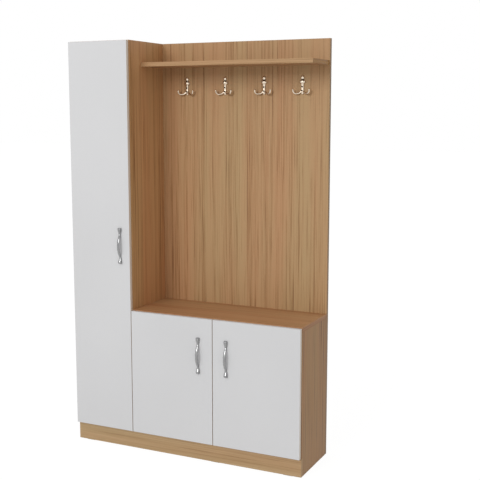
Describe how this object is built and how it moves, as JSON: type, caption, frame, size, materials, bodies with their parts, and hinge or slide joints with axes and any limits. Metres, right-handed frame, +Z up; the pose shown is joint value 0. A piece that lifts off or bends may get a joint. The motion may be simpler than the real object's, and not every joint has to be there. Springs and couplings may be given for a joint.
{
  "type": "hallway unit",
  "caption": "Hallway storage unit: a tall cupboard with a hinged door beside a low bench cabinet with hinged doors, and above the bench a panelled niche with coat hooks and a hat shelf.",
  "frame": {"origin": "middle of the unit's footprint, on the floor", "axes": "+Z up, -Y towards the room, +Y towards the wall, +X to the right as seen from the room"},
  "size_m": [1.1, 0.3404, 1.8],
  "materials": {
    "walnut_laminate": "matt wood-grain laminate",
    "white_melamine": "matt white melamine",
    "hardboard": "thin board, laminated on its front",
    "softwood": "sawn, unfinished",
    "chrome": "polished chrome plate",
    "nickel_steel": "nickel plate",
    "zinc_steel": "zinc plate",
    "glide_plastic": "moulded, matt",
    "support_plastic": "moulded, matt, brown",
    "clear_rubber": "clear soft pad"
  },
  "bodies": {
    "carcass": {"bench_top": "walnut_laminate", "coat_hook_1": "chrome", "coat_hook_2": "chrome", "coat_hook_3": "chrome", "coat_hook_4": "chrome", "corner_blocks": "softwood", "door_bumpers": "clear_rubber", "floor_glides": "glide_plastic", "hat_shelf": "walnut_laminate", "hinge_arms": "nickel_steel", "hinge_plates": "nickel_steel", "low_bottom_panel": "walnut_laminate", "low_divider": "walnut_laminate", "low_shelf_left": "walnut_laminate", "low_shelf_right": "walnut_laminate", "low_shelf_supports": "support_plastic", "low_side_left": "walnut_laminate", "low_side_right": "walnut_laminate", "niche_back_panel": "walnut_laminate", "plinth_cross_rail": "walnut_laminate", "plinth_front": "walnut_laminate", "plinth_rear_low": "walnut_laminate", "plinth_rear_tall": "walnut_laminate", "tall_back_panel": "hardboard", "tall_bottom_panel": "walnut_laminate", "tall_fixed_shelf": "walnut_laminate", "tall_shelf_1": "walnut_laminate", "tall_shelf_2": "walnut_laminate", "tall_shelf_3": "walnut_laminate", "tall_shelf_supports": "support_plastic", "tall_side_left": "walnut_laminate", "tall_side_right": "walnut_laminate", "tall_top_panel": "walnut_laminate", "wall_brackets": "zinc_steel"},
    "tall_links": {"tall_hinge_links": "nickel_steel"},
    "tall_door_leaf": {"tall_door": "white_melamine", "tall_handle": "chrome", "tall_hinge_cups": "nickel_steel"},
    "low_left_links": {"low_left_hinge_links": "nickel_steel"},
    "low_left_door_leaf": {"low_left_door": "white_melamine", "low_left_handle": "chrome", "low_left_hinge_cups": "nickel_steel"},
    "low_right_links": {"low_right_hinge_links": "nickel_steel"},
    "low_right_door_leaf": {"low_right_door": "white_melamine", "low_right_handle": "chrome", "low_right_hinge_cups": "nickel_steel"}
  },
  "joints": [
    {"name": "tall_link_turn", "type": "hinge", "parent": "carcass", "child": "tall_links", "pos_m": [-0.5125, -0.12545, 0.919], "axis": [0, 0, 1], "range_deg": [0, 48]},
    {"name": "tall_door_turn", "type": "hinge", "parent": "tall_links", "child": "tall_door_leaf", "pos_m": [-0.5354, -0.13675, 0.919], "axis": [0, 0, -1], "range_deg": [0, 142.97]},
    {"name": "low_left_link_turn", "type": "hinge", "parent": "carcass", "child": "low_left_links", "pos_m": [-0.2125, -0.12545, 0.358], "axis": [0, 0, 1], "range_deg": [0, 48]},
    {"name": "low_left_door_turn", "type": "hinge", "parent": "low_left_links", "child": "low_left_door_leaf", "pos_m": [-0.2354, -0.13675, 0.358], "axis": [0, 0, -1], "range_deg": [0, 142.97]},
    {"name": "low_right_link_turn", "type": "hinge", "parent": "carcass", "child": "low_right_links", "pos_m": [0.5125, -0.12545, 0.358], "axis": [0, 0, -1], "range_deg": [0, 48]},
    {"name": "low_right_door_turn", "type": "hinge", "parent": "low_right_links", "child": "low_right_door_leaf", "pos_m": [0.5354, -0.13675, 0.358], "axis": [0, 0, 1], "range_deg": [0, 142.97]}
  ],
  "couplings": [
    {"joint": "tall_link_turn", "follows": "tall_door_turn", "ratio": 0.33555},
    {"joint": "low_left_link_turn", "follows": "low_left_door_turn", "ratio": 0.33555},
    {"joint": "low_right_link_turn", "follows": "low_right_door_turn", "ratio": 0.33555}
  ]
}
